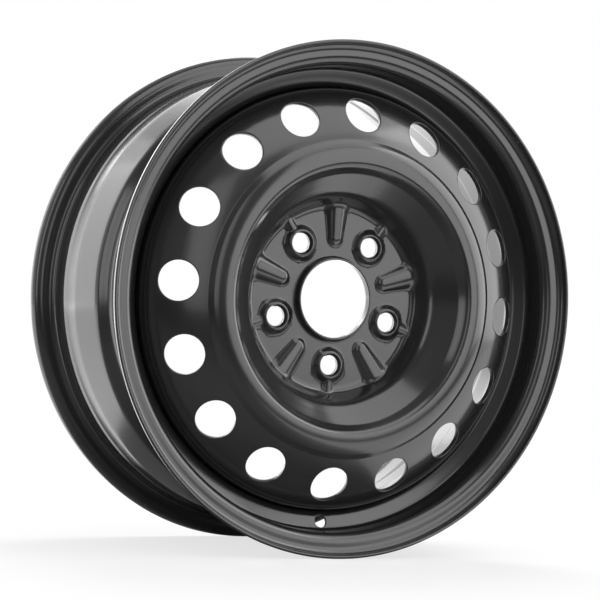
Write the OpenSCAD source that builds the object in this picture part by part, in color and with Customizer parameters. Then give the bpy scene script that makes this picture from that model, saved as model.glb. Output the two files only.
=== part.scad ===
// Pressed steel road wheel: a rolled rim, a pressed disc and the fillet welds that join them.
// The axle runs along Y, the outboard face looks along -Y and Z is up.
// The origin is the centre of the hub face, the plane on the disc's back that lies on the hub.
// Sections are drawn as [radius, distance outboard of the hub face].

/* [Rim] */
// Diameter across the bead seats, at the tyre flanges
bead_seat_d = 405.6; // [395:0.1:430]
// Width between the tyre flanges
rim_width = 165.1; // [150:0.1:195]
// Distance from the rim's middle plane out to the hub face
wheel_offset = 50; // [42:0.5:56]
// Thickness of the rim's sheet
rim_sheet = 2.6; // [2:0.1:3.2]
// Height of the tyre flanges above the bead seats
flange_height = 17.5; // [15:0.1:20]
// Distance from a flange's plane to the tip of its curl
flange_reach = 10.65; // [10:0.05:13]
// Inner bend radius of the flange curl
curl_radius = 6.9; // [4:0.1:7]
// Inner bend radius of the bead heel
heel_radius = 6; // [3:0.1:7]
// Taper of the bead seats, in degrees
seat_taper = 5; // [3:0.5:7]

/* [Humps] */
// Distance from a flange's plane to the top of its safety hump
hump_distance = 21.3; // [19:0.1:24]
// Height of the hump above the line of the bead seat
hump_height = 1.2; // [0.6:0.1:2]
// Distance from the top of the hump to its foot
hump_foot = 4.4; // [3.5:0.1:6]
// Inner bend radius at the humps
hump_radius = 2.5; // [1:0.1:4]

/* [Well] */
// Depth of the well below the bead seats
well_depth = 17.8; // [16:0.1:22]
// Length of the well's bottom between its corners
well_length = 48.4; // [40:0.1:56]
// Distance from the outboard flange's plane to the well's front corner
well_setback = 32.75; // [30:0.05:38]
// Lean of the well's front wall from the radial plane, in degrees
well_wall_lean = 19; // [10:0.5:25]
// Drop from the top of the outboard hump to the top of the front wall
well_shoulder_drop = 1.8; // [1:0.1:3]
// Inner bend radius of the well's front shoulder
well_shoulder_radius = 4; // [2:0.1:6]
// Inner bend radius of the well's front corner
well_front_radius = 6.5; // [3:0.1:9]
// Inner bend radius of the well's rear corner and brow
well_rear_radius = 8; // [4:0.1:12]
// Height of the well's rear wall
rear_wall_height = 8.8; // [6:0.1:11]
// Run of the well's rear wall along the axle
rear_wall_run = 8.8; // [5:0.1:14]
// Length of the ledge in front of the inboard hump
ledge_length = 16.5; // [8:0.1:20]
// Drop of the ledge's front end below the hump's foot
ledge_drop = 1; // [0.2:0.1:2]
// Inner bend radius where the ramp meets the ledge
ledge_radius = 24; // [10:1:40]

/* [Valve hole] */
// Diameter of the valve hole
valve_d = 11.3; // [8:0.1:13]
// Direction of the valve hole from the axle, in degrees
valve_angle = 270; // [0:1:359]

/* [Hub bore] */
// Diameter of the hub bore
bore_d = 67.1; // [56:0.1:72]
// Radius of the rounding at the bore's back edge
bore_entry = 5; // [3:0.1:6]
// Height of the bore's lip above the disc face
lip_height = 6.8; // [5:0.1:8]
// Width of the lip's flat top
lip_top_w = 1.7; // [1.2:0.05:2.5]
// Radial run of the lip's flank
lip_run = 1.3; // [0.8:0.1:3]
// Inner bend radius at the foot of the lip
lip_radius = 2; // [1:0.1:3]

/* [Disc section] */
// Thickness of the disc's sheet
disc_sheet = 4; // [3.2:0.1:4.8]
// Radius of the corner between the flat face and the recess wall
face_r = 80.5; // [77:0.1:86]
// Inner bend radius of that corner
face_radius = 7; // [4:0.5:12]
// Radial run of the recess wall
wall_run = 26.45; // [20:0.05:30]
// Rise of the recess wall
wall_rise = 34.35; // [28:0.05:40]
// Inner bend radius from the wall to the brow
wall_radius = 50; // [20:1:80]
// Radial run of the brow
brow_run = 7.55; // [5:0.05:10]
// Rise of the brow
brow_rise = 7.65; // [5:0.05:10]
// Inner bend radius from the brow to the crown
brow_radius = 7.9; // [4:0.1:10]
// Width of the crown between its corners
crown_w = 11.3; // [8:0.1:15]
// Inner bend radius of the crown's outer corner
crown_radius = 25; // [10:0.5:30]
// Radial run of the roll-off outside the crown
roll_run = 6.5; // [5:0.1:9]
// Drop of the roll-off
roll_drop = 2.9; // [1.5:0.1:4]
// Inner bend radius at the top of the step
roll_radius = 2; // [0.5:0.1:4]
// Radial run of the step
step_run = 3.6; // [2.5:0.1:5]
// Drop of the step
step_drop = 2.9; // [1.5:0.1:4]
// Inner bend radius at the foot of the step
step_radius = 2.5; // [1:0.1:4]
// Inner bend radius at the inner edge of the vent band
band_in_radius = 118; // [40:1:140]
// Radial run of the vent band
band_run = 21.1; // [18:0.1:24]
// Drop of the vent band
band_drop = 11.7; // [8:0.1:15]
// Inner bend radius at the outer edge of the vent band
band_out_radius = 60; // [20:1:70]
// Radial run of the shoulder between the vent band and the flange
shoulder_run = 12.6; // [10:0.1:16]
// Drop of the shoulder
shoulder_drop = 14.8; // [10:0.1:20]
// Inner bend radius from the shoulder to the flange
shoulder_radius = 16; // [8:0.5:18]
// Distance from the well's front corner out to the flange's corner
flange_corner = 9.9; // [7:0.1:13]
// Depth of the disc's flange behind that corner
flange_depth = 27.7; // [22:0.1:34]
// Radial clearance between the disc's flange and the well
flange_clearance = 0.1; // [0.05:0.05:0.2]

/* [Stud seats] */
// Number of stud holes
stud_count = 5; // [4:1:6]
// Diameter of the stud circle
stud_circle_d = 114.3; // [108:0.1:118]
// Direction of the first stud hole from the axle, in degrees
stud_angle = 270; // [0:1:359]
// Diameter of the stud holes
stud_hole_d = 16.8; // [14:0.1:18]
// Mouth diameter of the nut seats
seat_d = 20; // [19:0.1:21.5]
// Cone angle of the nut seats, in degrees
seat_angle = 60; // [55:1:70]
// Diameter of the bosses at the disc face
boss_d = 31.5; // [28:0.1:34]
// Diameter across the tops of the bosses
boss_top_d = 23; // [22:0.1:26]
// Height of the bosses above the disc face
boss_height = 4; // [3:0.1:5]
// Diameter of the hollow behind a boss, at the hub face
hollow_d = 23; // [21:0.1:26]
// Diameter of the hollow at its top
hollow_top_d = 19; // [18.2:0.1:20]
// Depth of the hollow
hollow_depth = 1.8; // [1:0.1:3]
// Width of the web from a boss to the recess wall
web_w = 10; // [7:0.1:14]
// Height of the web above the disc face
web_height = 2.6; // [1.5:0.1:3.5]

/* [Ribs] */
// Radius of the point where a rib's inner end starts to round off
rib_in_r = 53; // [51:0.1:57]
// Width of a rib at its inner end
rib_in_w = 15.5; // [13:0.1:17]
// Radius at which a rib has its outer width
rib_out_r = 73; // [68:0.1:78]
// Width of a rib at that radius
rib_out_w = 20.8; // [18:0.1:23]
// Height of a rib's inner end above the disc face
rib_in_height = 3.2; // [2.5:0.1:4]
// Height of a rib at its outer width
rib_out_height = 4.4; // [3.5:0.1:5.5]

/* [Vents] */
// Number of groups of vent holes
vent_groups = 4; // [2:1:4]
// Number of vent holes in a group
group_vents = 4; // [2:1:4]
// Diameter of the vent holes
vent_d = 33.7; // [26:0.1:36]
// Angle between the vent holes of a group, in degrees
vent_pitch = 22.27; // [21:0.01:22.5]
// Direction of the middle of the first group, in degrees
vent_angle = 30.9; // [0:0.1:90]

/* [Welds] */
// Number of weld beads
weld_count = 8; // [4:1:12]
// Leg of the weld beads
weld_leg = 4; // [2.5:0.1:5]
// Arc that each weld bead spans, in degrees
weld_arc = 26; // [10:1:28]

/* [Hidden] */
$fn = 128;
// Largest distance between an arc and its chords
arc_gap = 0.1;
// Steps of the rounding at the bore's back edge
entry_steps = 6;
// Steps of the rounding at a rib's inner end
nose_steps = 3;
// Share of a run that the bends at its two ends may take together
bend_share = 0.98;
// Length that counts as none
tiny = 0.001;
// Share of the sheet by which the foot of a boss is sunk into it
boss_sink = 0.3;
// Length by which a cut runs past a surface
past = 1;
// Length of a hole's cut, in thicknesses of the sheet
cut_sheets = 6;
// Place of a weld bead's crest from the corner, in legs along the radius and the axle
weld_crest = [0.45, 0.75];
paint = [0.13, 0.13, 0.14];
weld_paint = [0.2, 0.2, 0.21];

// Levels and radii of the rim
rim_middle = -wheel_offset;
flange_out = rim_middle + rim_width / 2;
flange_in = rim_middle - rim_width / 2;
seat_r = bead_seat_d / 2;
flange_r = seat_r + flange_height;
hump_r = seat_r - hump_distance * tan(seat_taper) + hump_height;
hump_foot_r = seat_r - (hump_distance - hump_foot) * tan(seat_taper);
well_r = seat_r - well_depth;
well_front = flange_out - well_setback;
well_rear = well_front - well_length;
wall_top_r = hump_r - well_shoulder_drop;
wall_top = well_front + (wall_top_r - well_r) * tan(well_wall_lean);
hump_in = flange_in + hump_distance;
ledge_end = hump_in + hump_foot;

// Levels and radii of the disc
bore_r = bore_d / 2;
face = disc_sheet;
lip_top = face + lip_height;
lip_top_r = bore_r + lip_top_w;
well_inner_r = well_r - rim_sheet;
disc_flange_r = well_inner_r - flange_clearance;
flange_corner_z = well_front + flange_corner;
flange_end = flange_corner_z - flange_depth;
crown = face + wall_rise + brow_rise;
crown_in_r = face_r + wall_run + brow_run;
crown_out_r = crown_in_r + crown_w;
band_out = [disc_flange_r - shoulder_run, flange_corner_z + shoulder_drop];
band_in = band_out + [-band_run, band_drop];
band_slope = atan2(band_drop, band_run);

// Tyre side of the rim from the outboard tip to the inboard tip, as [radius, level, inner bend radius]
rim_line = [
    [flange_r, flange_out + flange_reach, 0],
    [flange_r, flange_out, curl_radius],
    [seat_r, flange_out, heel_radius],
    [hump_foot_r, flange_out - hump_distance + hump_foot, hump_radius],
    [hump_r, flange_out - hump_distance, hump_radius],
    [wall_top_r, wall_top, well_shoulder_radius],
    [well_r, well_front, well_front_radius],
    [well_r, well_rear, well_rear_radius],
    [well_r + rear_wall_height, well_rear - rear_wall_run, well_rear_radius],
    [hump_foot_r - ledge_drop, ledge_end + ledge_length, ledge_radius],
    [hump_foot_r, ledge_end, hump_radius],
    [hump_r, hump_in, hump_radius],
    [hump_foot_r, hump_in - hump_foot, hump_radius],
    [seat_r, flange_in, heel_radius],
    [flange_r, flange_in, curl_radius],
    [flange_r, flange_in - flange_reach, 0]
];

// Outboard side of the disc from its flat face to the end of its flange, in the same form
disc_line = [
    [face_r, face, face_radius],
    [face_r + wall_run, face + wall_rise, wall_radius],
    [crown_in_r, crown, brow_radius],
    [crown_out_r, crown, crown_radius],
    [crown_out_r + roll_run, crown - roll_drop, roll_radius],
    [crown_out_r + roll_run + step_run, crown - roll_drop - step_drop, step_radius],
    [band_in[0], band_in[1], band_in_radius],
    [band_out[0], band_out[1], band_out_radius],
    [disc_flange_r, flange_corner_z, shoulder_radius],
    [disc_flange_r, flange_end, 0]
];
lip_line = [
    [lip_top_r, lip_top, 0],
    [lip_top_r + lip_run, face, lip_radius]
];
entry_line = [[bore_r + bore_entry, face, 0]];

function flat(v) = [v[0], v[1]];
function unit(v) = v / norm(v);
function left_of(d) = [-d[1], d[0]];
function heading(d) = atan2(d[1], d[0]);
function along(a) = [cos(a), sin(a)];
function turn(d, e) = atan2(d[0] * e[1] - d[1] * e[0], d * e);
function backwards(list) = [for (i = [len(list) - 1:-1:0]) list[i]];
function chord_radius(w, h) = (w * w / 4 + h * h) / (2 * h);

// The face of a bent sheet along a line of corners, moved sideways by side (left is positive).
// The sheet lies to the right of the line, so a right turn bends its face round the inner radius
// plus the sheet. Bends that would run into each other shrink together.
function bent_face(line, sheet, side) =
    let (
        last = len(line) - 1,
        runs = [for (i = [1:last]) flat(line[i]) - flat(line[i - 1])],
        turns = [for (i = [0:last]) i == 0 || i == last ? 0 : turn(runs[i - 1], runs[i])],
        radii = [for (i = [0:last]) line[i][2] + (turns[i] < 0 ? sheet : 0)],
        reach = [for (i = [0:last]) radii[i] * tan(abs(turns[i]) / 2)],
        share = [for (i = [1:last]) bend_share * norm(runs[i - 1]) / max(reach[i - 1] + reach[i], tiny)]
    )
    [for (i = [0:last])
        let (
            fit = i == 0 || i == last ? 1 : min(1, share[i - 1], share[i]),
            start = unit(i == 0 ? runs[0] : runs[i - 1]),
            bow = sign(turns[i]) * radii[i] * fit,
            centre = flat(line[i]) - start * reach[i] * fit + left_of(start) * bow,
            steps = ceil(abs(turns[i]) / (2 * acos(1 - arc_gap / (abs(bow) + sheet))))
        )
        for (k = [0:steps])
            let (out = left_of(along(heading(start) + turns[i] * (steps == 0 ? 0 : k / steps))))
            centre + out * (side - bow)
    ];

// Outline of the rim's section
function rim_outline() =
    concat(bent_face(rim_line, rim_sheet, 0), backwards(bent_face(rim_line, rim_sheet, -rim_sheet)));

// Outline of the disc's section, with the lip and the rounded entry of its bore
function disc_outline() =
    concat(
        [[bore_r, lip_top]],
        bent_face(concat(lip_line, disc_line), disc_sheet, 0),
        backwards(bent_face(concat(entry_line, disc_line), disc_sheet, -disc_sheet)),
        [for (k = [1:entry_steps])
            [bore_r + bore_entry, bore_entry] - bore_entry * along(90 - k * 90 / entry_steps)]
    );

// Turns a body about the axle's line from lying flat to standing upright
module upright() {
    rotate([90, 0, 0]) children();
}

module around(count, first) {
    for (i = [0:count - 1]) rotate(first + i * 360 / count) children();
}

// The space of the recess, down to the middle of the sheet and a little into its wall
module recess_space() {
    floor_level = face - disc_sheet / 2;
    depth = crown - floor_level;
    translate([0, 0, floor_level])
        cylinder(h = depth, r1 = face_r, r2 = face_r + depth * wall_run / wall_rise);
}

// A rib as a blunt cone that lies along a radius with its back sunk in the sheet, smaller by inset
module rib_core(inset) {
    in_radius = chord_radius(rib_in_w, rib_in_height);
    out_radius = chord_radius(rib_out_w, rib_out_height);
    in_level = face + rib_in_height - in_radius;
    out_level = face + rib_out_height - out_radius;
    length = norm([rib_out_r - rib_in_r, out_level - in_level]);
    spread = atan2(out_radius - in_radius, length);
    nose = in_radius * cos(spread) - inset;
    reach = length * (face_r + face_radius - rib_in_r) / (rib_out_r - rib_in_r);
    end_radius = in_radius + reach * tan(spread) - inset / cos(spread);
    step = (90 - spread) / (nose_steps - 0.5);
    round_end = [for (k = [1:nose_steps]) nose * along((k - 0.5) * step - 90)];
    side = concat([[0, -nose * cos(step / 2)]], round_end, [[end_radius, reach], [0, reach]]);
    translate([rib_in_r, 0, in_level])
        rotate([0, 90 + atan2(in_level - out_level, rib_out_r - rib_in_r), 0])
            rotate_extrude() polygon(side);
}

// The web from a boss out to the recess wall
module boss_web() {
    radius = chord_radius(web_w, web_height);
    translate([stud_circle_d / 2, 0, face + web_height - radius])
        rotate([0, 90, 0]) cylinder(h = face_r - stud_circle_d / 2, r = radius);
}

// A coned boss whose foot is sunk into the sheet
module stud_boss() {
    sink = boss_sink * disc_sheet;
    spread = sink * (boss_d - boss_top_d) / boss_height;
    translate([stud_circle_d / 2, 0, face - sink])
        cylinder(h = boss_height + sink, d1 = boss_d + spread, d2 = boss_top_d);
}

// The stud hole with its nut seat in front and the hollow of the pressing behind
module stud_cut() {
    top = face + boss_height;
    widen = 2 * tan(seat_angle / 2);
    seat_depth = (seat_d - stud_hole_d) / widen;
    slope = (hollow_d - hollow_top_d) / hollow_depth;
    translate([stud_circle_d / 2, 0, 0]) {
        translate([0, 0, -past]) cylinder(h = top + 2 * past, d = stud_hole_d);
        translate([0, 0, top - seat_depth])
            cylinder(h = seat_depth + past, d1 = stud_hole_d, d2 = seat_d + past * widen);
        translate([0, 0, -past])
            cylinder(h = hollow_depth + past, d1 = hollow_d + past * slope, d2 = hollow_top_d);
    }
}

module vent_cut() {
    middle = (band_in + band_out) / 2;
    translate([middle[0], 0, middle[1]])
        rotate([0, band_slope, 0]) cylinder(h = cut_sheets * disc_sheet, d = vent_d, center = true);
}

module vents() {
    around(vent_groups, vent_angle)
        for (i = [0:group_vents - 1]) rotate((i - (group_vents - 1) / 2) * vent_pitch) vent_cut();
}

module valve_cut() {
    middle_r = (wall_top_r + well_r) / 2;
    rotate(valve_angle)
        translate([middle_r, 0, (wall_top + well_front) / 2])
            rotate([0, -well_wall_lean, 0])
                cylinder(h = cut_sheets * rim_sheet, d = valve_d, center = true);
}

// Rolled rim with curled flanges, tapered bead seats, safety humps and an offset well
module rim() {
    color(paint) upright() difference() {
        rotate_extrude() polygon(rim_outline());
        valve_cut();
    }
}

// Pressed disc with a lipped bore, coned stud seats, radial ribs, a raised crown and a vent band
module wheel_disc() {
    color(paint) upright() difference() {
        union() {
            rotate_extrude() polygon(disc_outline());
            around(stud_count, stud_angle) stud_boss();
            intersection() {
                recess_space();
                union() {
                    around(stud_count, stud_angle) boss_web();
                    around(stud_count, stud_angle + 180 / stud_count) rib_core(0);
                }
            }
        }
        around(stud_count, stud_angle) stud_cut();
        around(stud_count, stud_angle + 180 / stud_count) rib_core(disc_sheet);
        vents();
    }
}

// Fillet welds in the corner between the end of the disc's flange and the well
module weld_beads() {
    color(weld_paint) upright()
        around(weld_count, -weld_arc / 2)
            rotate_extrude(angle = weld_arc)
                polygon([
                    [well_inner_r, flange_end],
                    [well_inner_r - weld_leg, flange_end],
                    [well_inner_r - weld_crest[0] * weld_leg, flange_end - weld_crest[1] * weld_leg],
                    [well_inner_r, flange_end - weld_leg]
                ]);
}

rim();
wheel_disc();
weld_beads();
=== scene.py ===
"""Pressed steel road wheel in satin black paint: a rolled rim, a pressed disc and the welds between them.

The axle runs along Y, the outboard face looks along -Y and Z is up. Sections are drawn as radius and level, which
is the distance outboard of the hub face, and are carried round the axle.
"""

import math

import bmesh
import bpy
import numpy as np
from bpy.props import FloatProperty, FloatVectorProperty, IntProperty, PointerProperty
from mathutils import Matrix, Vector


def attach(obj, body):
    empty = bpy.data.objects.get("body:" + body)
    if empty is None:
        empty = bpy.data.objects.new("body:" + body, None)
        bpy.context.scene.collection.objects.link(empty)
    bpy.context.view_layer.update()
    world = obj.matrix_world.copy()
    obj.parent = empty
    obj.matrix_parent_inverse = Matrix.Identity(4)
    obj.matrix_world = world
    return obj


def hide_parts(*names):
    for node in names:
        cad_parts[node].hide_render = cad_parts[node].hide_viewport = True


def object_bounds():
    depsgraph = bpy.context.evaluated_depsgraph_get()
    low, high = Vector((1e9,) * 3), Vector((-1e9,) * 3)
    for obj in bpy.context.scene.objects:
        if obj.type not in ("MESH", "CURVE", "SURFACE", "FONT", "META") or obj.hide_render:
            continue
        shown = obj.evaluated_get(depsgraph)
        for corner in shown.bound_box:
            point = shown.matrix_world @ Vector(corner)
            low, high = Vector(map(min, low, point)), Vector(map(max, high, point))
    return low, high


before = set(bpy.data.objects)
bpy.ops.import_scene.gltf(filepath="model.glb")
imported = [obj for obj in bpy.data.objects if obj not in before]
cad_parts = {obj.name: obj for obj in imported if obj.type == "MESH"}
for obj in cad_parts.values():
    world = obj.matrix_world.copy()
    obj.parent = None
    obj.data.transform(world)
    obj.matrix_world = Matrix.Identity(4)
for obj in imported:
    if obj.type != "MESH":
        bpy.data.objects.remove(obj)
CAD_BOX = [list(map(float, corner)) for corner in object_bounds()]

bl_info = {
    "name": "Steel wheel",
    "version": (1, 0, 0),
    "blender": (4, 5, 0),
    "location": "View3D > Sidebar > Wheel",
    "description": "Builds a pressed steel road wheel and the studio that it stands in",
    "category": "Mesh",
}

MM = 0.001

# The grid: columns round the axle, and the distance between rows on a straight run of each section.
COLUMNS = 300
RIM_ROWS = 3.4 * MM
FACE_ROWS = 1.5 * MM
DISC_ROWS = 4.2 * MM
COLLAR_ROWS = 1.5 * MM

# Bends: the widest step, the widest gap to a chord, and the share of a run that the bends at its ends may take.
BEND_STEP = math.radians(7)
BEND_GAP = 2e-5
BEND_ROOM = 0.98

# Ribs: the power that makes the section flat-topped, its reach in half widths, and the share of the sheet by which
# the groove behind is narrower on each side.
RIB_POWER = 3
RIB_REACH = 1.5
GROOVE_INSET = 0.47

# Stud seats: the reach of the grid's block, its columns on each side and the radii of the rings over the boss.
SEAT_REACH = 13.2 * MM
SEAT_COLUMNS = 13
SEAT_RINGS = (12.7, 12.2, 11.7, 11.2, 10.7, 10.3)

# Reflector cards that stand: name, turn in degrees from the front towards +X, distance, height, size, brightness.
STANDING_CARDS = (
    ("panel_right", 70, 2.3, 0.5, (2.0, 3.0), 4.0),
    ("panel_front_right", 28, 2.7, 0.6, (1.4, 2.6), 3.0),
    ("panel_front_left", -21, 2.7, 0.6, (0.9, 2.4), 1.5),
    ("panel_far_left", -74, 2.4, 0.5, (0.55, 2.4), 2.6),
    ("panel_left", -137, 2.2, 0.5, (0.9, 3.2), 2.8),
    ("panel_side", -108, 2.6, 0.4, (1.7, 3.0), 0.55),
    ("panel_back_left", -168, 2.2, 0.3, (0.8, 1.8), 3.6),
    ("panel_back", -153, 2.3, 0.5, (0.45, 2.6), 1.5),
    ("panel_back_high", 178, 2.4, 1.3, (1.8, 1.2), 2.0),
    ("panel_ceiling", 27, 1.3, 2.3, (2.8, 2.0), 2.5),
)

# Reflector cards that lie on the floor: name, place, size, brightness.
LYING_CARDS = (
    ("card_right", (0.95, -0.1), (1.7, 1.1), 1.35),
    ("card_rear", (0.0, 1.55), (4.0, 2.7), 2.0),
)


def length(name, millimetres, words):
    """A property for a size that is written in millimetres and kept in metres."""
    return FloatProperty(name=name, description=words, default=millimetres * MM, unit="LENGTH", precision=5)


def angle(name, degrees, words):
    """A property for an angle that is written in degrees and kept in radians."""
    return FloatProperty(name=name, description=words, default=math.radians(degrees), unit="ROTATION")


def share(name, value, words):
    """A property for a plain number."""
    return FloatProperty(name=name, description=words, default=value)


def colour(name, value, words):
    """A property for a colour."""
    return FloatVectorProperty(name=name, description=words, default=value, size=3, subtype="COLOR", min=0, max=1)


class RimSizes(bpy.types.PropertyGroup):
    """Sizes of the rolled rim."""

    seat_d: length("Bead seat", 405.6, "Diameter across the bead seats")
    width: length("Width", 165.1, "Width between the tyre flanges")
    offset: length("Offset", 50, "Distance from the rim's middle plane to the hub face")
    sheet: length("Sheet", 2.6, "Thickness of the rim's sheet")
    edge: length("Edge rounding", 0.9, "Rounding of the rolled edges")
    flange_height: length("Flange height", 17.5, "Height of the flanges above the bead seats")
    flange_reach: length("Flange reach", 10.65, "Distance from a flange's plane to the tip of its curl")
    curl_bend: length("Curl bend", 6.9, "Inner bend radius of the flange curl")
    heel_bend: length("Heel bend", 6, "Inner bend radius of the bead heel")
    seat_taper: angle("Seat taper", 5, "Taper of the bead seats")
    hump_distance: length("Hump distance", 21.3, "Distance from a flange's plane to its safety hump")
    hump_height: length("Hump height", 1.2, "Height of the humps above the line of the bead seat")
    hump_foot: length("Hump foot", 4.4, "Distance from the top of a hump to its foot")
    hump_bend: length("Hump bend", 2.5, "Inner bend radius at the humps")
    well_depth: length("Well depth", 17.8, "Depth of the well below the bead seats")
    well_length: length("Well length", 48.4, "Length of the well's bottom between its corners")
    well_setback: length("Well setback", 32.75, "Distance from the outboard flange's plane to the well")
    wall_lean: angle("Wall lean", 19, "Lean of the well's front wall from the radial plane")
    shoulder_drop: length("Shoulder drop", 1.8, "Drop from the outboard hump to the top of the front wall")
    shoulder_bend: length("Shoulder bend", 4, "Inner bend radius of the well's front shoulder")
    front_bend: length("Front corner", 6.5, "Inner bend radius of the well's front corner")
    rear_bend: length("Rear corner", 8, "Inner bend radius of the well's rear corner and brow")
    rear_height: length("Rear wall height", 8.8, "Height of the well's rear wall")
    rear_run: length("Rear wall run", 8.8, "Run of the well's rear wall along the axle")
    ledge_length: length("Ledge length", 16.5, "Length of the ledge in front of the inboard hump")
    ledge_drop: length("Ledge drop", 1, "Drop of the ledge's front end below the hump's foot")
    ledge_bend: length("Ledge bend", 24, "Inner bend radius where the ramp meets the ledge")
    valve_d: length("Valve hole", 11.3, "Diameter of the valve hole")
    valve_angle: angle("Valve direction", 270, "Direction of the valve hole from the axle")


class DiscSizes(bpy.types.PropertyGroup):
    """Sizes of the pressed disc's section and its vents."""

    sheet: length("Sheet", 4, "Thickness of the disc's sheet")
    face_r: length("Face radius", 80.5, "Radius of the corner between the flat face and the recess wall")
    face_bend: length("Face bend", 7, "Inner bend radius of that corner")
    wall_run: length("Wall run", 26.45, "Radial run of the recess wall")
    wall_rise: length("Wall rise", 33.3, "Rise of the recess wall")
    wall_bend: length("Wall bend", 10, "Inner bend radius from the wall to the brow")
    knee_run: length("Knee run", 8.3, "Radial run of the steep lower part of the recess wall")
    knee_rise: length("Knee rise", 18.9, "Rise of that part")
    knee_bend: length("Knee bend", 18, "Inner bend radius from that part to the flatter part above")
    dip_run: length("Dip run", 17.3, "Radial run from the face's corner to the hollow of the flatter part")
    dip_rise: length("Dip rise", 25.8, "Rise from the face to that hollow")
    dip_bend: length("Dip bend", 50, "Inner bend radius of that hollow")
    brow_run: length("Brow run", 6.75, "Radial run of the brow")
    brow_rise: length("Brow rise", 8.7, "Rise of the brow")
    brow_bend: length("Brow bend", 3, "Inner bend radius from the brow to the crown")
    crown_w: length("Crown width", 12.1, "Width of the crown between its corners")
    crown_bend: length("Crown bend", 25, "Inner bend radius of the crown's outer corner")
    roll_run: length("Roll-off run", 6.5, "Radial run of the roll-off outside the crown")
    roll_drop: length("Roll-off drop", 2.9, "Drop of the roll-off")
    roll_bend: length("Roll-off bend", 2, "Inner bend radius at the top of the step")
    step_run: length("Step run", 3.6, "Radial run of the step")
    step_drop: length("Step drop", 2.9, "Drop of the step")
    step_bend: length("Step bend", 2.5, "Inner bend radius at the foot of the step")
    band_run: length("Vent band run", 21.1, "Radial run of the vent band")
    band_drop: length("Vent band drop", 11.7, "Drop of the vent band")
    band_in_bend: length("Band inner bend", 118, "Inner bend radius at the inner edge of the vent band")
    band_out_bend: length("Band outer bend", 60, "Inner bend radius at the outer edge of the vent band")
    shoulder_run: length("Shoulder run", 12.6, "Radial run of the shoulder outside the vent band")
    shoulder_drop: length("Shoulder drop", 14.8, "Drop of the shoulder")
    shoulder_bend: length("Shoulder bend", 16, "Inner bend radius from the shoulder to the flange")
    flange_corner: length("Flange corner", 9.9, "Distance from the well's front corner to the flange's corner")
    flange_depth: length("Flange depth", 27.7, "Depth of the disc's flange behind that corner")
    clearance: length("Flange clearance", 0.1, "Radial clearance between the disc's flange and the well")
    edge: length("Edge rounding", 0.4, "Rounding of the sheet's cut edges")
    vent_groups: IntProperty(name="Vent groups", description="Number of groups of vents", default=4)
    group_vents: IntProperty(name="Vents in a group", description="Number of vents in a group", default=4)
    vent_d: length("Vent", 33.7, "Diameter of the vents")
    vent_pitch: angle("Vent pitch", 22.27, "Angle between the vents of a group")
    vent_angle: angle("Vent direction", 30.9, "Direction of the middle of the first group")
    vent_edge: length("Vent edge", 0.7, "Rounding of the vents' punched front edge")


class HubSizes(bpy.types.PropertyGroup):
    """Sizes of the bore, the stud seats and the ribs."""

    bore_d: length("Bore", 67.1, "Diameter of the hub bore")
    bore_entry: length("Bore entry", 5, "Rounding of the bore's back edge")
    lip_height: length("Lip height", 6.8, "Height of the bore's lip above the face")
    lip_top_w: length("Lip top", 1.7, "Width of the lip's flat top")
    lip_run: length("Lip run", 1.3, "Radial run of the lip's flank")
    lip_bend: length("Lip bend", 2, "Bend radius at the foot of the lip")
    lip_edge: length("Lip edge", 0.7, "Rounding of the lip's top edges")
    stud_count: IntProperty(name="Studs", description="Number of stud holes", default=5)
    stud_circle_d: length("Stud circle", 114.3, "Diameter of the stud circle")
    stud_angle: angle("Stud direction", 270, "Direction of the first stud hole")
    stud_hole_d: length("Stud hole", 16.8, "Diameter of the stud holes")
    seat_d: length("Nut seat", 20, "Mouth diameter of the nut seats")
    seat_angle: angle("Seat angle", 60, "Cone angle of the nut seats")
    boss_d: length("Boss", 31.5, "Diameter of the bosses at the face")
    boss_top_d: length("Boss top", 23, "Diameter across the tops of the bosses")
    boss_height: length("Boss height", 4, "Height of the bosses above the face")
    hollow_d: length("Hollow", 23, "Diameter of the hollow behind a boss at the hub face")
    hollow_top_d: length("Hollow top", 19, "Diameter of the hollow at its top")
    hollow_depth: length("Hollow depth", 1.8, "Depth of the hollow")
    web_w: length("Web width", 10, "Width of the web from a boss to the recess wall")
    web_height: length("Web height", 2.6, "Height of the web above the face")
    rib_in_r: length("Rib start", 53, "Radius where a rib's inner end starts to round off")
    rib_in_w: length("Rib inner width", 15.5, "Width of a rib at its inner end")
    rib_in_height: length("Rib inner height", 3.2, "Height of a rib at its inner end")
    rib_out_r: length("Rib outer radius", 73, "Radius at which a rib has its outer width")
    rib_out_w: length("Rib outer width", 20.8, "Width of a rib at that radius")
    rib_out_height: length("Rib outer height", 4.4, "Height of a rib at that radius")
    rib_fillet: length("Rib fillet", 5.5, "Height over which the top of a rib is rounded into the recess wall")
    rib_blend: length("Rib blend", 0.9, "Height over which the foot of a rib is rounded into the face")
    groove_blend: length("Groove blend", 0.5, "Height over which the groove behind a rib is rounded into the back")
    web_blend: length("Web blend", 1.2, "Height over which a web is rounded into the face")
    boss_blend: length("Boss blend", 0.8, "Height over which a boss is rounded into the face")
    boss_top_blend: length("Boss top blend", 0.9, "Height over which the top of a boss is rounded")


class WeldSizes(bpy.types.PropertyGroup):
    """Sizes of the weld beads."""

    count: IntProperty(name="Beads", description="Number of weld beads", default=8)
    leg: length("Leg", 4, "Leg of the beads")
    arc: angle("Arc", 26, "Arc that each bead spans")
    ripple: length("Ripple", 0.16, "Height of the ripples along a bead")
    pitch: length("Ripple pitch", 2.2, "Distance between the ripples")


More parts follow.
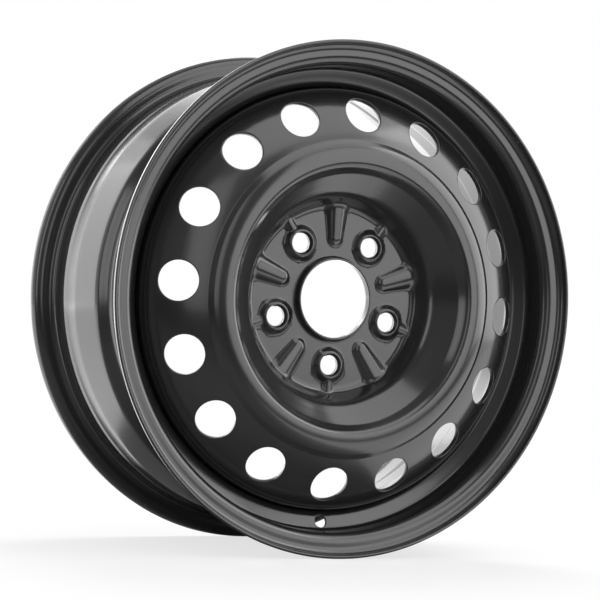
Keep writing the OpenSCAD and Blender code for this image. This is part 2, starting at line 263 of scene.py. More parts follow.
class PaintLook(bpy.types.PropertyGroup):
    """Colours and finish of the paint."""

    black: colour("Black", (0.0182, 0.0182, 0.0189), "Colour of the paint")
    worn: colour("Thin black", (0.019, 0.019, 0.02), "Colour of the paint where it is thin or dusty")
    dust: colour("Dust", (0.32, 0.32, 0.31), "Colour of dust specks")
    roughness: share("Roughness", 0.19, "Roughness of the paint")
    coat: share("Gloss", 0.2, "Weight of the gloss over the paint")
    patch_scale: share("Patch scale", 16, "Scale of the broad patches")
    smear_scale: share("Smear scale", 70, "Scale of the smears")
    peel_scale: share("Peel scale", 380, "Scale of the orange peel")
    dust_scale: share("Dust scale", 75, "Scale of the cells that may each hold a dust speck")


class StageLook(bpy.types.PropertyGroup):
    """The studio and the camera."""

    floor: colour("Floor", (0.86, 0.86, 0.86), "Colour of the floor")
    fill: share("Fill", 0.92, "Strength of the even light of the room")
    shade: share("Floor white", 0.72, "Share of the floor near the wheel that stays white in the shadow")
    azimuth: angle("Camera azimuth", -28.042, "Direction of the camera round the upright axis")
    elevation: angle("Camera elevation", 0.768, "Height of the camera above the horizon")
    roll: angle("Camera roll", 3.5, "Turn of the camera about the axle")
    distance: FloatProperty(name="Camera distance", description="Distance of the camera from the wheel",
                            default=1.94658, unit="LENGTH")
    slide: length("Camera slide", -25.62, "Move of the camera to its right")
    lift: length("Camera lift", -0.995, "Move of the camera upward")
    lens: FloatProperty(name="Lens", description="Focal length of the camera", default=134.97, unit="CAMERA")


def turned(grid_r, grid_angle, grid_level):
    """Points of the row frame at a radius, an angle round the axle and a level outboard of the hub face."""
    return np.stack([grid_r * np.cos(grid_angle), -grid_level, grid_r * np.sin(grid_angle)], axis=-1)


def soft_max(one, other, width):
    """The larger of two heights, rounded over the width in which they cross, by a quadratic blend."""
    blend = np.clip(0.5 + 0.5 * (one - other) / width, 0, 1)
    return other + (one - other) * blend + width * blend * (1 - blend)


def chord_radius(width, height):
    """Radius of the arc that is so high over a chord so wide."""
    return (width * width / 4 + height * height) / (2 * height)


def bent_line(corners, sheet, spacing):
    """Points and left normals of a line of straight runs that are joined by round bends.

    Each corner is a radius, a level and an inner bend radius. The sheet lies to the right, so a right turn bends
    round the inner radius plus the sheet, and bends that would run into each other shrink together. A bend is a
    circle about the point that lies its radius to the side; spacing gives the distance between points on a run.
    """
    corners = np.asarray(corners, float)
    spots = corners[:, :2]
    runs = np.diff(spots, axis=0)
    lengths = np.linalg.norm(runs, axis=1)
    headings = np.arctan2(runs[:, 1], runs[:, 0])
    turns = np.concatenate([[0], (np.diff(headings) + np.pi) % (2 * np.pi) - np.pi, [0]])
    radii = corners[:, 2] + np.where(turns < 0, sheet, 0)
    reach = radii * np.tan(np.abs(turns) / 2)
    room = BEND_ROOM * lengths / np.maximum(reach[:-1] + reach[1:], 1e-9)
    fit = np.minimum(1, np.minimum(np.append(room, 1), np.insert(room, 0, 1)))
    fit[[0, -1]] = 1
    points, normals = [], []
    for i, spot in enumerate(spots):
        first = headings[max(i - 1, 0)]
        bow = np.sign(turns[i]) * radii[i] * fit[i]
        step = min(BEND_STEP, 2 * math.acos(1 - min(BEND_GAP / (abs(bow) + sheet + BEND_GAP / 2), 1)))
        bends = first + turns[i] * np.linspace(0, 1, 1 + math.ceil(abs(turns[i]) / step))
        start = np.array([math.cos(first), math.sin(first)])
        centre = spot - start * reach[i] * fit[i] + np.array([-start[1], start[0]]) * bow
        left = np.stack([-np.sin(bends), np.cos(bends)], axis=1)
        arc = centre - left * bow
        if points:
            gap = np.linalg.norm(arc[0] - points[-1][-1])
            pieces = max(1, round(gap / spacing(min(arc[0][0], points[-1][-1][0]))))
            at = np.linspace(0, 1, pieces + 1)[1:-1, None]
            points.append(points[-1][-1] + (arc[0] - points[-1][-1]) * at)
            normals.append(np.repeat(left[:1], len(at), axis=0))
        points.append(arc)
        normals.append(left)
    return np.concatenate(points), np.concatenate(normals)


def rounded_end(tip, left, ahead, sheet, edge):
    """Points round a sheet's cut end, from its left face to its right: two quarter circles of the edge's radius."""
    swing = np.linspace(0, np.pi / 2, 5)[:, None]
    near = tip - (left + ahead) * edge + edge * (left * np.cos(swing) + ahead * np.sin(swing))
    far = tip - left * (sheet - edge) - ahead * edge + edge * (ahead * np.cos(swing) - left * np.sin(swing))
    return np.concatenate([near, far])


def heading(left):
    """Direction of a line from its left normal."""
    return np.array([left[1], -left[0]])


class Ring:
    """A closed section carried round the axle as a grid of rows and columns, with holes through its sheet."""

    def __init__(self, section, front, back):
        """section is the closed line of radius and level; front and back pair the rows on the sheet's two faces."""
        self.front, self.back = front, back
        self.line = section[front]
        self.r = np.repeat(section[:, :1], COLUMNS, axis=1)
        self.level = np.repeat(section[:, 1:], COLUMNS, axis=1)
        self.angle = np.repeat(np.arange(COLUMNS)[None] * (2 * np.pi / COLUMNS), len(section), axis=0)
        self.closed = np.ones(self.r.shape, bool)
        self.loops, self.quads = [], []
        self.count = self.r.size

    def block(self, hole_angle, centre, reach, columns):
        """Row and column numbers of the grid block round a hole that reaches so far along the radius on the front."""
        middle = round(hole_angle / (2 * np.pi / COLUMNS))
        near = np.hypot(self.line[:, 0] - centre[0], self.line[:, 1] - centre[1]) < 1.6 * reach
        inside = np.flatnonzero(near & (np.abs(self.line[:, 0] - centre[0]) < reach))
        return np.arange(inside[0] - 1, inside[-1] + 2), np.arange(middle - columns, middle + columns + 1)

    def border(self, rows, columns):
        """Grid numbers once round a block, on the rows given."""
        grid = rows[:, None] * COLUMNS + columns[None] % COLUMNS
        return np.concatenate([grid[0, :-1], grid[:-1, -1], grid[-1, :0:-1], grid[:0:-1, 0]])

    def border_place(self, border, hole_angle):
        """Distance outward and across, and level, of border points as seen from a hole's angle."""
        r, turn = self.r.ravel()[border], self.angle.ravel()[border] - hole_angle
        return r * np.cos(turn), r * np.sin(turn), self.level.ravel()[border]

    def pierce(self, hole_angle, rows, columns, rings):
        """Takes a block out of both faces and joins its borders by rings of points: outward, across, level."""
        for lines in (self.front[rows], self.back[rows]):
            low, high = min(lines[0], lines[-1]), max(lines[0], lines[-1])
            self.closed[np.ix_(np.arange(low, high), columns[:-1] % COLUMNS)] = False
        chain = [self.border(self.front[rows], columns)]
        for outward, across, level in rings:
            chain.append(self.count + np.arange(len(outward)))
            self.count += len(outward)
            self.loops.append(turned(np.hypot(outward, across), hole_angle + np.arctan2(across, outward), level))
        chain.append(self.border(self.back[rows], columns))
        chain = np.array(chain)
        ahead = np.roll(chain, -1, axis=1)
        self.quads.append(np.stack([chain[:-1], ahead[:-1], ahead[1:], chain[1:]], axis=-1).reshape(-1, 4))

    def mesh(self, name):
        """The grid without its blocks, with the hole walls, as one closed mesh with faces outward."""
        number = np.arange(self.r.size).reshape(self.r.shape)
        below, beside = np.roll(number, -1, axis=0), np.roll(number, -1, axis=1)
        sheet = np.stack([number, below, np.roll(below, -1, axis=1), beside], axis=-1)[self.closed]
        points = np.concatenate([turned(self.r, self.angle, self.level).reshape(-1, 3), *self.loops])
        return surface(name, points, np.concatenate([sheet, *self.quads]))


def surface(name, points, quads, merge=0.0):
    """A smooth object from points and quads: loose points dropped, poles merged, faces turned outward."""
    used = np.unique(quads)
    points, quads = points[used], np.searchsorted(used, quads)
    mesh = bpy.data.meshes.new(name)
    mesh.vertices.add(len(points))
    mesh.vertices.foreach_set("co", points.astype(np.float32).ravel())
    mesh.loops.add(quads.size)
    mesh.loops.foreach_set("vertex_index", quads.astype(np.int32).ravel())
    mesh.polygons.add(len(quads))
    mesh.polygons.foreach_set("loop_start", np.arange(0, quads.size, 4, dtype=np.int32))
    mesh.update(calc_edges=True)
    work = bmesh.new()
    work.from_mesh(mesh)
    if merge:
        bmesh.ops.dissolve_degenerate(work, dist=merge, edges=work.edges)
        bmesh.ops.remove_doubles(work, verts=work.verts, dist=merge)
    bmesh.ops.recalc_face_normals(work, faces=work.faces)
    work.to_mesh(mesh)
    work.free()
    mesh.polygons.foreach_set("use_smooth", np.ones(len(mesh.polygons), bool))
    mesh.update()
    piece = bpy.data.objects.new(name, mesh)
    bpy.context.scene.collection.objects.link(piece)
    return piece


def on_sheet(across, along, centre, tilt, level_at):
    """Outward distance and level of a sheet's points at across and along in a hole's tilted plane.

    Along is measured from the hole's centre down the tilt, so outward = centre + (along + rise sin tilt) / cos tilt,
    which is stepped against the level of the sheet at that place until both agree.
    """
    level = np.full(along.shape, centre[1])
    for _ in range(24):
        outward = centre[0] + (along + (level - centre[1]) * math.sin(tilt)) / math.cos(tilt)
        level = level_at(np.hypot(outward, across), np.arctan2(across, outward))
    return outward, level


def hole_side(ring, border, hole_angle, centre, tilt, facing, radius, edge, level_at):
    """Rings of one face from a block's border to the hole's wall: blended rings on the sheet, then a rounded edge.

    The edge is a quarter circle: inward by edge (1 - sin), down the hole's axis by edge (1 - cos).
    """
    outward, across, level = ring.border_place(border, hole_angle)
    along = (outward - centre[0]) * math.cos(tilt) - (level - centre[1]) * math.sin(tilt)
    reach = np.hypot(along, across)
    if reach.min() < radius + edge:
        raise ValueError("a hole is larger than its block of the grid")
    way = np.stack([across / reach, along / reach])
    rings = []
    for part in (0.6, 0.3, 0.1):
        far = radius + edge + part * (reach - radius - edge)
        outward, level = on_sheet(way[0] * far, way[1] * far, centre, tilt, level_at)
        rings.append((outward, way[0] * far, level))
    for swing in np.radians((0, 30, 60, 90)):
        far = np.full(reach.shape, radius + edge * (1 - math.sin(swing)))
        sink = facing * edge * (1 - math.cos(swing))
        outward, level = on_sheet(way[0] * far, way[1] * far, centre, tilt, level_at)
        rings.append((outward - sink * math.sin(tilt), way[0] * far, level - sink * math.cos(tilt)))
    return rings


def punch(ring, hole_angle, centre, tilt, facing, radius, edges, reach, columns):
    """A round hole through both faces of a ring's sheet, square to a plane of that tilt."""
    rows, columns = ring.block(hole_angle, centre, reach, columns)
    near = slice(rows[0] - 1, rows[-1] + 2)
    halves = []
    for lines, edge, side in ((ring.front, edges[0], facing), (ring.back, edges[1], -facing)):
        order = np.argsort(ring.r[lines[near], 0])
        line_r, line_level = ring.r[lines[near], 0][order], ring.level[lines[near], 0][order]
        border = ring.border(lines[rows], columns)
        halves.append(hole_side(
            ring, border, hole_angle, centre, tilt, side, radius, edge,
            lambda r, turn: np.interp(r, line_r, line_level),
        ))
    ring.pierce(hole_angle, rows, columns, halves[0] + halves[1][::-1])


def rim_line(rim):
    """Corners of the rim's tyre side from the outboard tip to the inboard tip: radius, level, inner bend radius."""
    out, back = rim.width / 2 - rim.offset, -rim.width / 2 - rim.offset
    seat = rim.seat_d / 2
    flange = seat + rim.flange_height
    slope = math.tan(rim.seat_taper)
    hump = seat - rim.hump_distance * slope + rim.hump_height
    foot = seat - (rim.hump_distance - rim.hump_foot) * slope
    well = seat - rim.well_depth
    front = out - rim.well_setback
    rear = front - rim.well_length
    top = hump - rim.shoulder_drop
    hump_in = back + rim.hump_distance
    ledge = hump_in + rim.hump_foot
    return [
        (flange, out + rim.flange_reach, 0),
        (flange, out, rim.curl_bend),
        (seat, out, rim.heel_bend),
        (foot, out - rim.hump_distance + rim.hump_foot, rim.hump_bend),
        (hump, out - rim.hump_distance, rim.hump_bend),
        (top, front + (top - well) * math.tan(rim.wall_lean), rim.shoulder_bend),
        (well, front, rim.front_bend),
        (well, rear, rim.rear_bend),
        (well + rim.rear_height, rear - rim.rear_run, rim.rear_bend),
        (foot - rim.ledge_drop, ledge + rim.ledge_length, rim.ledge_bend),
        (foot, ledge, rim.hump_bend),
        (hump, hump_in, rim.hump_bend),
        (foot, hump_in - rim.hump_foot, rim.hump_bend),
        (seat, back, rim.heel_bend),
        (flange, back, rim.curl_bend),
        (flange, back - rim.flange_reach, 0),
    ]


def disc_line(disc, rim):
    """Corners of the disc's outboard side from its flat face to the end of its flange, in the same form."""
    well = rim_line(rim)[6]
    flange = well[0] - rim.sheet - disc.clearance
    corner = well[1] + disc.flange_corner
    crown = disc.sheet + disc.wall_rise + disc.brow_rise
    crown_in = disc.face_r + disc.wall_run + disc.brow_run
    roll = crown_in + disc.crown_w + disc.roll_run
    step = crown - disc.roll_drop - disc.step_drop
    band = (flange - disc.shoulder_run, corner + disc.shoulder_drop)
    return [
        (disc.face_r, disc.sheet, disc.face_bend),
        (disc.face_r + disc.knee_run, disc.sheet + disc.knee_rise, disc.knee_bend),
        (disc.face_r + disc.dip_run, disc.sheet + disc.dip_rise, disc.dip_bend),
        (disc.face_r + disc.wall_run, disc.sheet + disc.wall_rise, disc.wall_bend),
        (crown_in, crown, disc.brow_bend),
        (crown_in + disc.crown_w, crown, disc.crown_bend),
        (roll, crown - disc.roll_drop, disc.roll_bend),
        (roll + disc.step_run, step, disc.step_bend),
        (band[0] - disc.band_run, band[1] + disc.band_drop, disc.band_in_bend),
        (band[0], band[1], disc.band_out_bend),
        (flange, corner, disc.shoulder_bend),
        (flange, corner - disc.flange_depth, 0),
    ]


def rib_top(hub, face, outward, across, inset):
    """Level of a rib with a flat-topped section: level = foot + height (1 - (away / half width)^3).

    Height and width run evenly from the inner to the outer end, and away is the distance from the rib's middle
    line, which ends at the inner end, so that the nose is round there. The groove behind is inset by the sheet.
    """
    run = np.maximum(outward - hub.rib_in_r, 0) / (hub.rib_out_r - hub.rib_in_r)
    ahead = np.minimum(outward - hub.rib_in_r, 0)
    height = hub.rib_in_height + (hub.rib_out_height - hub.rib_in_height) * run
    half = (hub.rib_in_w + (hub.rib_out_w - hub.rib_in_w) * run) / 2 - GROOVE_INSET * inset
    away = np.hypot(across, ahead) / half
    return np.where(away < RIB_REACH, face - inset + height * (1 - away ** RIB_POWER), -1)


def near_spoke(hub, r, turn, shift):
    """Distance outward and across from the nearest of the evenly spaced directions of the studs, moved by shift."""
    pitch = 2 * np.pi / hub.stud_count
    off = (turn - hub.stud_angle - shift * pitch + pitch / 2) % pitch - pitch / 2
    return r * np.cos(off), r * np.sin(off)


def hub_front(hub, disc, r, turn, level):
    """Level of the disc's front near the hub: the plain section with its bosses, webs and ribs blended on.

    A boss is a cone with a softened top, a web is an arc across a radius, and each joins by a rounded maximum.
    """
    face = disc.sheet
    outward, across = near_spoke(hub, r, turn, 0.5)
    rise = np.clip((r - disc.face_r + disc.face_bend) / disc.face_bend, 0, 1)
    blend = hub.rib_blend + (hub.rib_fillet - hub.rib_blend) * rise
    level = soft_max(level, rib_top(hub, face, outward, across, 0), blend)
    outward, across = near_spoke(hub, r, turn, 0)
    bow = chord_radius(hub.web_w, hub.web_height)
    web = face + hub.web_height - bow + np.sqrt(np.maximum(bow * bow - across * across, 0))
    web = np.where((outward > hub.stud_circle_d / 2) & (np.abs(across) < bow), web, -1)
    level = np.where(r < disc.face_r + disc.face_bend, soft_max(level, web, hub.web_blend), level)
    away = np.hypot(outward - hub.stud_circle_d / 2, across)
    slope = hub.boss_height / ((hub.boss_d - hub.boss_top_d) / 2)
    top = np.full(away.shape, -hub.boss_height)
    cone = face - soft_max(-(hub.boss_d / 2 - away) * slope, top, hub.boss_top_blend)
    return soft_max(level, cone, hub.boss_blend)


def hub_back(hub, disc, r, turn, level):
    """Level of the disc's back near the hub: the plain section with the grooves behind the ribs."""
    outward, across = near_spoke(hub, r, turn, 0.5)
    return soft_max(level, rib_top(hub, disc.sheet, outward, across, disc.sheet), hub.groove_blend)


def stud_seats(ring, hub, disc):
    """The stud holes: rings over the boss, a coned nut seat, the hole and the hollow behind.

    The edges of the mouth, the hole and the hollow are broken by 0.1 to 0.3 mm.
    """
    centre = hub.stud_circle_d / 2
    top = disc.sheet + hub.boss_height
    hole, mouth = hub.stud_hole_d / 2, hub.seat_d / 2
    seat = top - (mouth - hole) / math.tan(hub.seat_angle / 2)
    hollow, hollow_top, depth = hub.hollow_d / 2, hub.hollow_top_d / 2, hub.hollow_depth
    for k in range(hub.stud_count):
        hole_angle = hub.stud_angle + k * 2 * np.pi / hub.stud_count
        rows, columns = ring.block(hole_angle, (centre, disc.sheet), SEAT_REACH, SEAT_COLUMNS)
        rings = []
        for lines, front in ((ring.front, True), (ring.back, False)):
            outward, across, _ = ring.border_place(ring.border(lines[rows], columns), hole_angle)
            away = np.hypot(outward - centre, across)
            way = np.stack([(outward - centre) / away, across / away])
            inner = SEAT_RINGS[0] * MM if front else hollow + 0.2 * MM
            sides = [inner + part * (away - inner) for part in (0.7, 0.4, 0.15, 0)]
            if front:
                sides += [np.full(away.shape, far * MM) for far in SEAT_RINGS[1:]]
            part = []
            for far in sides:
                out, side = centre + way[0] * far, way[1] * far
                plain = np.full(far.shape, disc.sheet if front else 0.0)
                shape = hub_front if front else hub_back
                turn = hole_angle + np.arctan2(side, out)
                part.append((out, side, shape(hub, disc, np.hypot(out, side), turn, plain)))
            walls = [
                (hollow, 0.05 * MM),
                (hollow - 0.2 * MM, 0.25 * MM),
                (hollow_top + 0.3 * MM, depth - 0.3 * MM),
                (hollow_top - 0.1 * MM, depth),
                (hole + 0.2 * MM, depth),
                (hole, depth + 0.2 * MM),
            ]
            if front:
                walls = [
                    (mouth + 0.08 * MM, top - 0.04 * MM),
                    (mouth - 0.1 * MM, top - 0.25 * MM),
                    (hole + 0.12 * MM, seat + 0.21 * MM),
                    (hole, seat),
                    (hole, seat - 0.2 * MM),
                ]
            for far, height in walls:
                part.append((centre + way[0] * far, way[1] * far, np.full(away.shape, height)))
            rings += part if front else part[::-1]
        ring.pierce(hole_angle, rows, columns, rings)


class Wire:
    """A socket of a node tree, so that shader maths is written as Python expressions."""

    def __init__(self, tree, socket=None):
        self.tree, self.socket = tree, socket

    def make(self, kind, settings, sockets, out=0):
        """Adds a node of a type: its settings first, then the values or links of its sockets; returns one output."""
        node = self.tree.nodes.new("ShaderNode" + kind)
        for key, value in settings.items():
            setattr(node, key, value)
        for key, value in sockets.items():
            if isinstance(value, Wire):
                self.tree.links.new(value.socket, node.inputs[key])
            else:
                node.inputs[key].default_value = value
        return Wire(self.tree, node.outputs[out] if len(node.outputs) else None)

    def other(self, out):
        """Another output of the node that this socket belongs to."""
        return Wire(self.tree, self.socket.node.outputs[out])

    def maths(self, operation, one, two):
        return self.make("Math", {"operation": operation}, {0: one, 1: two})

    def __add__(self, value):
        return self.maths("ADD", self, value)

    def __radd__(self, value):
        return self.maths("ADD", value, self)

    def __sub__(self, value):
        return self.maths("SUBTRACT", self, value)

    def __rsub__(self, value):
        return self.maths("SUBTRACT", value, self)

    def __mul__(self, value):
        return self.maths("MULTIPLY", self, value)

    def __rmul__(self, value):
        return self.maths("MULTIPLY", value, self)

    def __lt__(self, value):
        return self.maths("LESS_THAN", self, value)

    def __gt__(self, value):
        return self.maths("GREATER_THAN", self, value)


def blank_material(name):
    """A material with an empty node tree, and the wire that adds its nodes."""
    material = bpy.data.materials.new(name)
    material.use_nodes = True
    material.node_tree.nodes.clear()
    return material, Wire(material.node_tree)


def satin_black(name, look, matt=0.0, peel=0.008):
    """Satin black paint: near-black with broad thin patches, orange peel, an uneven gloss and a few dust specks."""
    material, start = blank_material(name)
    place = start.make("TexCoord", {}, {}, "Object")
    patches = {"Vector": place, "Scale": look.patch_scale, "Detail": 3.0}
    smears = {"Vector": place, "Scale": look.smear_scale, "Detail": 4.0, "Roughness": 0.6}
    broad = start.make("TexNoise", {}, patches, "Fac")
    smear = start.make("TexNoise", {}, smears, "Fac")
    skin = start.make("TexNoise", {}, {"Vector": place, "Scale": look.peel_scale, "Detail": 2.0}, "Fac")
    cell = start.make("TexVoronoi", {}, {"Vector": place, "Scale": look.dust_scale}, "Distance")
    chance = start.make("SeparateColor", {}, {"Color": cell.other("Color")}, "Red")
    speck = (cell < chance * 0.05) * (chance > 0.93)
    thin = broad * smear * 1.6
    shade = start.make("Mix", {"data_type": "RGBA"}, {0: thin, 6: (*look.black, 1), 7: (*look.worn, 1)}, 2)
    dusty = start.make("Mix", {"data_type": "RGBA"}, {0: speck * 0.6, 6: shade, 7: (*look.dust, 1)}, 2)
    rough = look.roughness + matt - 0.06 + 0.07 * broad + 0.06 * smear + 0.3 * speck
    bump = start.make("Bump", {}, {"Strength": peel, "Distance": 1 * MM, "Height": skin})
    paint = start.make(
        "BsdfPrincipled",
        {},
        {"Base Color": dusty, "Roughness": rough, "Normal": bump, "Coat Weight": look.coat, "Coat Roughness": 0.1},
    )
    start.make("OutputMaterial", {}, {"Surface": paint})
    return material


def finish_piece(piece, node, material):
    """Gives a piece its paint, lets it stand for its CAD node and lets it ride on the wheel."""
    piece.data.materials.append(material)
    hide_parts(node)
    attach(piece, "root")


class WHEEL_OT_rim(bpy.types.Operator):
    """Rolls the rim: curled flanges, tapered seats, safety humps and an offset well, with one valve hole"""

    bl_idname = "wheel.rim"
    bl_label = "Rolled rim"

    def execute(self, context):
        rim = context.scene.wheel_rim
        corners = rim_line(rim)
        points, left = bent_line(corners, rim.sheet, lambda r: RIM_ROWS)
        behind = points - left * rim.sheet
        inboard = rounded_end(points[-1], left[-1], heading(left[-1]), rim.sheet, rim.edge)
        outboard = rounded_end(points[0], left[0], -heading(left[0]), rim.sheet, rim.edge)[::-1]
        points[-1], behind[-1] = inboard[0], inboard[-1]
        points[0], behind[0] = outboard[-1], outboard[0]
        section = np.concatenate([points, inboard[1:-1], behind[::-1], outboard[1:-1]])
        front = np.arange(len(points))
        ring = Ring(section, front, 2 * len(points) + len(inboard) - 3 - front)
        wall = np.array([corners[5][:2], corners[6][:2]])
        radius = rim.valve_d / 2
        edges = (0.3 * MM, 0.4 * MM)
        punch(ring, rim.valve_angle, wall.mean(axis=0), -rim.wall_lean, -1, radius, edges, radius + 0.5 * MM, 3)
        finish_piece(ring.mesh("rolled_rim"), "rim", satin_black("satin_black_rim", context.scene.wheel_paint))
        return {"FINISHED"}


class WHEEL_OT_disc(bpy.types.Operator):
    """Presses the disc: lipped bore, coned stud seats, ribs, raised crown and a band of round vents"""

    bl_idname = "wheel.disc"
    bl_label = "Pressed disc"

    def execute(self, context):
        scene = context.scene
        disc, hub = scene.wheel_disc, scene.wheel_hub
        face, bore, lip = disc.sheet, hub.bore_d / 2, disc.sheet + hub.lip_height
        foot = bore + hub.lip_top_w + hub.lip_run
        start = bore + hub.bore_entry + 0.6 * MM
        corners = disc_line(disc, scene.wheel_rim)
        line = [(start, face, 0)] + corners
        points, left = bent_line(line, face, lambda r: FACE_ROWS if r < disc.face_r else DISC_ROWS)
        behind = points - left * face
        end = rounded_end(points[-1], left[-1], heading(left[-1]), face, disc.edge)
        points[-1], behind[-1] = end[0], end[-1]
        collar_line = [
            (start, 0, 0),
            (bore, 0, hub.bore_entry),
            (bore, lip, hub.lip_edge),
            (bore + hub.lip_top_w, lip, hub.lip_edge),
            (foot, face, hub.lip_bend),
            (start, face, 0),
        ]
        collar = bent_line(collar_line, 0, lambda r: COLLAR_ROWS)[0][1:-1]
        front = np.arange(len(points))
        section = np.concatenate([points, end[1:-1], behind[::-1], collar])
        ring = Ring(section, front, 2 * len(points) + len(end) - 3 - front)
        near = front[points[:, 0] < disc.face_r + 3 * hub.rib_fillet]
        flank = np.flatnonzero((collar[:, 0] > bore + hub.lip_top_w) & (collar[:, 1] >= face)) - len(collar)
        for rows, shape in ((near, hub_front), (flank, hub_front), (ring.back[near], hub_back)):
            ring.level[rows] = shape(hub, disc, ring.r[rows], ring.angle[rows], ring.level[rows])
        stud_seats(ring, hub, disc)
        band = np.array([corners[-4][:2], corners[-3][:2]])
        tilt = math.atan2(disc.band_drop, disc.band_run)
        radius = disc.vent_d / 2
        edges = (disc.vent_edge, 0.25 * MM)
        for group in range(disc.vent_groups):
            for vent in range(disc.group_vents):
                turn = disc.vent_angle + group * 2 * np.pi / disc.vent_groups
                turn += (vent - (disc.group_vents - 1) / 2) * disc.vent_pitch
                punch(ring, turn, band.mean(axis=0), tilt, 1, radius, edges, radius - 0.4 * MM, 7)
        finish_piece(ring.mesh("pressed_disc"), "wheel_disc", satin_black("satin_black_disc", scene.wheel_paint))
        return {"FINISHED"}


class WHEEL_OT_welds(bpy.types.Operator):
    """Lays the fillet welds between the end of the disc's flange and the inside of the well"""

    bl_idname = "wheel.welds"
    bl_label = "Weld beads"

    def execute(self, context):
        scene = context.scene
        weld, disc, rim = scene.wheel_weld, scene.wheel_disc, scene.wheel_rim
        end = disc_line(disc, rim)[-1]
        corner_r, corner_level = rim_line(rim)[6][0] - rim.sheet, end[1]
        along = np.linspace(-1, 1, 121)[:, None]
        swing = np.linspace(0, np.pi / 2, 11)
        inward = np.concatenate([[0], np.cos(swing) ** 1.43])[None]
        behind = np.concatenate([[0], np.sin(swing) ** 1.43])[None]
        waves = 0.5 + 0.5 * np.cos(along * weld.arc * corner_r * np.pi / weld.pitch + 2.6 * behind)
        size = (weld.leg - weld.ripple * waves) * np.sqrt(1 - np.abs(along) ** 10)
        points, quads = [], []
        number = np.arange(size.size).reshape(size.shape)
        beside = np.roll(number, -1, axis=1)
        for k in range(weld.count):
            turn = k * 2 * np.pi / weld.count + along * weld.arc / 2
            turn = np.repeat(turn, size.shape[1], axis=1)
            faces = np.stack([number[:-1], number[1:], beside[1:], beside[:-1]], axis=-1).reshape(-1, 4)
            quads.append(faces + k * size.size)
            points.append(turned(corner_r - inward * size, turn, corner_level - behind * size).reshape(-1, 3))
        piece = surface("weld_fillets", np.concatenate(points), np.concatenate(quads), 1e-6)
        finish_piece(piece, "weld_beads", satin_black("satin_black_welds", scene.wheel_paint, 0.12, 0.08))
        return {"FINISHED"}


def add_lamp(name, pose, size, brightness, mirrored):
    """An area lamp of even brightness, whose power is pi area brightness.

    A mirrored lamp shows only in reflections, as a reflector card does, and any other lights only what is matt.
    """
    light = bpy.data.lights.new(name, "AREA")
    light.shape, light.size, light.size_y = "RECTANGLE", *size
    light.energy = math.pi * size[0] * size[1] * brightness
    panel = bpy.data.objects.new(name, light)
    panel.matrix_world = pose
    panel.visible_camera = False
    panel.visible_glossy = mirrored
    panel.visible_diffuse = not mirrored
    bpy.context.scene.collection.objects.link(panel)


def standing(turn, distance, height):
    """The pose of a lamp that stands at a turn in degrees from the front towards +X and faces the wheel."""
    turn = math.radians(turn)
    place = Vector((distance * math.sin(turn), -distance * math.cos(turn), height))
    return Matrix.Translation(place) @ (-place).to_track_quat("-Z", "Y").to_matrix().to_4x4()


def lying(x, y):
    """The pose of a lamp that lies just above the floor and faces up."""
    return Matrix.Translation((x, y, CAD_BOX[0][2] + 1 * MM)) @ Matrix.Rotation(math.pi, 4, "X")


def fade(value, low, high, before, after):
    """A smooth change from one brightness to another while a value goes from low to high."""
    ends = {0: value, 1: low, 2: high, 3: before, 4: after}
    return value.make("MapRange", {"interpolation_type": "SMOOTHSTEP"}, ends)


def room_light(scene, look):
    """White where the camera looks, white behind and dim before the wheel in reflections, an even fill elsewhere."""
    scene.world = bpy.data.worlds.new("studio")
    scene.world.use_nodes = True
    scene.world.node_tree.nodes.clear()
    start = Wire(scene.world.node_tree)
    ray = start.make("LightPath", {}, {}, "Is Camera Ray")
    mirrored = ray.other("Is Glossy Ray") + ray.other("Is Transmission Ray")
    way = start.make("SeparateXYZ", {}, {0: start.make("TexCoord", {}, {}, "Generated")}, "Y")
    behind = fade(way, -0.2, 0.5, 0.28, 1.0)
    white = ray + (1 - ray) * (mirrored * behind + (1 - mirrored) * look.fill)
    start.make("OutputWorld", {}, {0: start.make("Background", {}, {"Color": white})})


def floor_material(look):
    """White where the camera looks, less so near the wheel, where the matt floor keeps its shadow.

    In reflections it glows white too, with a painted shadow: dimmed below the wheel, before it and to its left.
    """
    material, start = blank_material("pale_floor")
    ray = start.make("LightPath", {}, {}, "Is Camera Ray")
    mirrored = ray.other("Is Glossy Ray") + ray.other("Is Transmission Ray")
    place = start.make("TexCoord", {}, {}, "Object")
    x = start.make("SeparateXYZ", {}, {0: place}, "X")
    y = x.other("Y")
    # The middle of the painted shadow below the wheel, which only reflections see.
    below = (-0.02, 0.1, CAD_BOX[0][2])
    off = start.make("VectorMath", {"operation": "DISTANCE"}, {0: place, 1: below}, "Value")
    away = start.make("VectorMath", {"operation": "LENGTH"}, {0: place}, "Value")
    # Painted shadow in reflections: the white glow dims near that middle, far before the wheel and to its left, but
    # stays white behind it.
    front = fade(y, -1.0, -0.3, 0.05, 1.0) * fade(x, -0.05, 0.15, 0.15, 1.0)
    rear = fade(y, 0.05, 0.35, 0.0, 1.0)
    glow_under_painted_shadow = fade(off, 0.19, 0.3, 0.05, 1.0) * (1 - (1 - front) * (1 - rear))
    matt = start.make("BsdfDiffuse", {}, {"Color": (*look.floor, 1)})
    white = start.make("Emission", {}, {"Color": ray + mirrored * glow_under_painted_shadow})
    weight = (ray + mirrored) * fade(away, 0.3, 1.1, look.shade, 1.0)
    start.make("OutputMaterial", {}, {0: start.make("MixShader", {}, {0: weight, 1: matt, 2: white})})
    return material


def floor_piece():
    """A flat square of floor at the foot of the wheel, 18 m wide, as a grid of nine by nine faces."""
    lines = np.linspace(-9, 9, 10)
    spots = np.stack([*np.meshgrid(lines, lines, indexing="ij"), np.full((10, 10), CAD_BOX[0][2])], axis=-1)
    number = np.arange(100).reshape(10, 10)
    quads = np.stack([number[:-1, :-1], number[1:, :-1], number[1:, 1:], number[:-1, 1:]], axis=-1)
    return surface("floor", spots.reshape(-1, 3), quads.reshape(-1, 4))


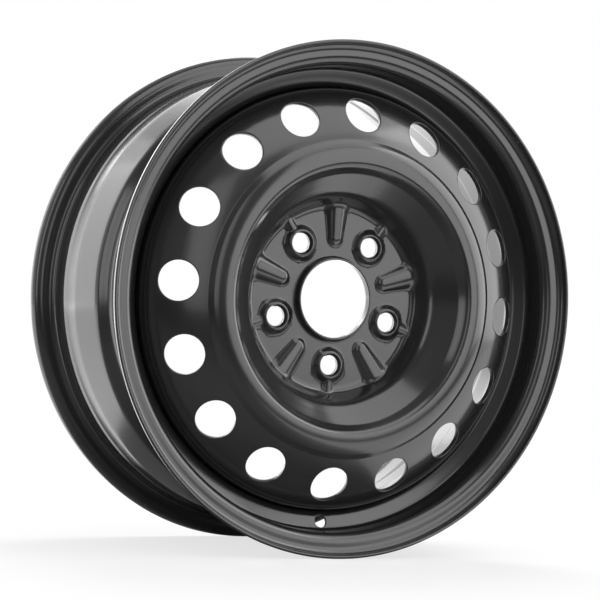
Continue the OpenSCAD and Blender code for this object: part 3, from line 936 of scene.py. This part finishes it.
def add_camera(scene, look):
    """A camera that looks at the wheel from an azimuth and an elevation, slid, lifted and rolled about the axle."""
    turn, rise = look.azimuth, look.elevation
    back = np.array([math.sin(turn) * math.cos(rise), -math.cos(turn) * math.cos(rise), math.sin(rise)])
    right = np.cross([0, 0, 1], back)
    right /= np.linalg.norm(right)
    up = np.cross(back, right)
    place = back * look.distance + right * look.slide + up * look.lift
    pose = Matrix([[right[i], up[i], back[i], place[i]] for i in range(3)] + [[0, 0, 0, 1]])
    camera = bpy.data.objects.new("camera", bpy.data.cameras.new("camera"))
    camera.data.lens, camera.data.sensor_width = look.lens, 36
    camera.matrix_world = Matrix.Rotation(-look.roll, 4, "Y") @ pose
    scene.collection.objects.link(camera)
    scene.camera = camera


class WHEEL_OT_stage(bpy.types.Operator):
    """Sets up the floor, the lamps, the room light and the camera"""

    bl_idname = "wheel.stage"
    bl_label = "Studio"

    def execute(self, context):
        scene, look = context.scene, context.scene.wheel_stage
        scene.view_settings.view_transform = "Standard"
        room_light(scene, look)
        floor = floor_piece()
        floor.data.materials.append(floor_material(look))
        add_lamp("lamp_key", standing(146, 1.9, 3.2), (1.6, 1.6), 9.5, False)
        for name, turn, distance, height, size, brightness in STANDING_CARDS:
            add_lamp(name, standing(turn, distance, height), size, brightness, True)
        for name, place, size, brightness in LYING_CARDS:
            add_lamp(name, lying(*place), size, brightness, True)
        add_camera(scene, look)
        return {"FINISHED"}


OPERATORS = (WHEEL_OT_rim, WHEEL_OT_disc, WHEEL_OT_welds, WHEEL_OT_stage)
GROUPS = {
    "wheel_rim": RimSizes,
    "wheel_disc": DiscSizes,
    "wheel_hub": HubSizes,
    "wheel_weld": WeldSizes,
    "wheel_paint": PaintLook,
    "wheel_stage": StageLook,
}


class WHEEL_PT_panel(bpy.types.Panel):
    """The wheel's pieces and sizes"""

    bl_label = "Steel wheel"
    bl_idname = "WHEEL_PT_panel"
    bl_space_type = "VIEW_3D"
    bl_region_type = "UI"
    bl_category = "Wheel"

    def draw(self, context):
        for operator in OPERATORS:
            self.layout.operator(operator.bl_idname)
        for name, group in GROUPS.items():
            box = self.layout.box()
            for key in group.__annotations__:
                box.prop(getattr(context.scene, name), key)


def register():
    for group in (*GROUPS.values(), *OPERATORS, WHEEL_PT_panel):
        bpy.utils.register_class(group)
    for name, group in GROUPS.items():
        setattr(bpy.types.Scene, name, PointerProperty(type=group))


def unregister():
    for name in GROUPS:
        delattr(bpy.types.Scene, name)
    for group in (WHEEL_PT_panel, *OPERATORS, *GROUPS.values()):
        bpy.utils.unregister_class(group)


def main():
    register()
    bpy.ops.wheel.rim()
    bpy.ops.wheel.disc()
    bpy.ops.wheel.welds()
    bpy.ops.wheel.stage()


if __name__ == "__main__":
    main()
